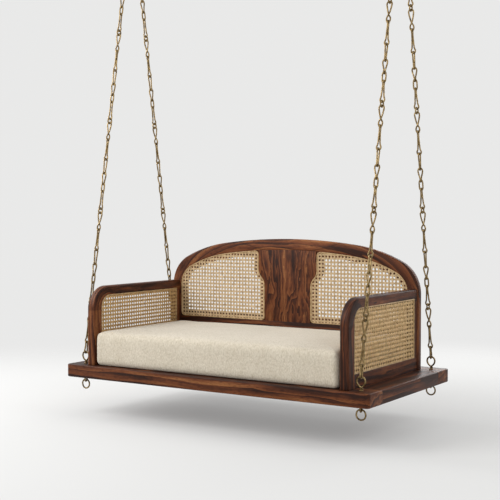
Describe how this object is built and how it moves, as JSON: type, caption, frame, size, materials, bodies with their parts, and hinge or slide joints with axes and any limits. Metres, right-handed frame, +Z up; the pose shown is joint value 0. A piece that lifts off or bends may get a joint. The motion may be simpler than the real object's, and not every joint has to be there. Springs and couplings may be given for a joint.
{
  "type": "jhoola swing",
  "caption": "Hanging swing bench with a cane-panelled arched back and arms, a loose seat cushion, and link chains that meet at two ceiling brackets.",
  "frame": {"origin": "in the ceiling plane, midway between the two ceiling plates", "axes": "+X towards the right-hand arm as seen from the front, +Y from the front of the seat to its back, +Z up"},
  "size_m": [1.5, 0.788, 2.031],
  "materials": {
    "sheesham": "satin oiled",
    "inner_timber": "plain oiled",
    "woven_cane": "natural",
    "reed_spline": "natural",
    "cushion_fabric": "woven, matte",
    "aged_brass": "aged, satin"
  },
  "bodies": {
    "ceiling": {"left_ceiling_plate": "aged_brass", "right_ceiling_plate": "aged_brass", "left_ceiling_pin": "aged_brass", "right_ceiling_pin": "aged_brass"},
    "hangers": {"left_hanger_link": "aged_brass", "right_hanger_link": "aged_brass"},
    "left_chains": {"left_spreader": "aged_brass", "left_front_chain": "aged_brass", "left_back_chain": "aged_brass"},
    "right_chains": {"right_spreader": "aged_brass", "right_front_chain": "aged_brass", "right_back_chain": "aged_brass"},
    "left_front_ring": {"left_front_tie_ring": "aged_brass"},
    "right_front_ring": {"right_front_tie_ring": "aged_brass"},
    "left_back_ring": {"left_back_tie_ring": "aged_brass"},
    "right_back_ring": {"right_back_tie_ring": "aged_brass"},
    "cushion": {"seat_cushion": "cushion_fabric"},
    "seat": {"arm_tenons": "inner_timber", "back_bottom_rail": "sheesham", "back_crest_rail": "sheesham", "back_rail": "sheesham", "back_splat": "sheesham", "back_tenons": "inner_timber", "deck_tenons": "inner_timber", "eye_bolts": "aged_brass", "eye_nuts": "aged_brass", "foot_tenons": "inner_timber", "front_rail": "sheesham", "left_arm_bottom_rail": "sheesham", "left_arm_cane": "woven_cane", "left_arm_cane_spline": "reed_spline", "left_arm_post": "sheesham", "left_arm_stile": "sheesham", "left_arm_top_rail": "sheesham", "left_back_cane": "woven_cane", "left_back_cane_spline": "reed_spline", "left_back_stile": "sheesham", "left_end_rail": "sheesham", "plate_washers": "aged_brass", "right_arm_bottom_rail": "sheesham", "right_arm_cane": "woven_cane", "right_arm_cane_spline": "reed_spline", "right_arm_post": "sheesham", "right_arm_stile": "sheesham", "right_arm_top_rail": "sheesham", "right_back_cane": "woven_cane", "right_back_cane_spline": "reed_spline", "right_back_stile": "sheesham", "right_end_rail": "sheesham", "seat_bearers": "inner_timber", "seat_slats": "inner_timber"}
  },
  "joints": [
    {"name": "swing", "type": "hinge", "parent": "ceiling", "child": "hangers", "pos_m": [0, 0, -0.042], "axis": [1, 0, 0], "range_deg": [-25, 25]},
    {"name": "left_sway", "type": "hinge", "parent": "hangers", "child": "left_chains", "pos_m": [-0.6885, 0, -0.0898], "axis": [0, 1, 0], "range_deg": [-3.5, 3.5]},
    {"name": "right_sway", "type": "hinge", "parent": "hangers", "child": "right_chains", "pos_m": [0.6885, 0, -0.0898], "axis": [0, 1, 0], "range_deg": [-3.5, 3.5]},
    {"name": "seat_level", "type": "hinge", "parent": "left_chains", "child": "seat", "pos_m": [-0.6885, -0.0071, -1.86864], "axis": [0, 1, 0], "range_deg": [-3.5, 3.5]},
    {"name": "cushion_lift", "type": "slide", "parent": "seat", "child": "cushion", "axis": [0, 0, 1], "range_m": [0, 0.3]},
    {"name": "left_front_ring_swing", "type": "hinge", "parent": "seat", "child": "left_front_ring", "pos_m": [-0.6885, -0.3426, -1.98824], "axis": [1, 0, 0], "range_deg": [-60, 60]},
    {"name": "left_back_ring_swing", "type": "hinge", "parent": "seat", "child": "left_back_ring", "pos_m": [-0.6885, 0.3284, -1.98824], "axis": [1, 0, 0], "range_deg": [-60, 60]},
    {"name": "right_front_ring_swing", "type": "hinge", "parent": "seat", "child": "right_front_ring", "pos_m": [0.6885, -0.3426, -1.98824], "axis": [1, 0, 0], "range_deg": [-60, 60]},
    {"name": "right_back_ring_swing", "type": "hinge", "parent": "seat", "child": "right_back_ring", "pos_m": [0.6885, 0.3284, -1.98824], "axis": [1, 0, 0], "range_deg": [-60, 60]}
  ],
  "couplings": [
    {"joint": "right_sway", "follows": "left_sway", "ratio": 1},
    {"joint": "seat_level", "follows": "left_sway", "ratio": -1}
  ]
}
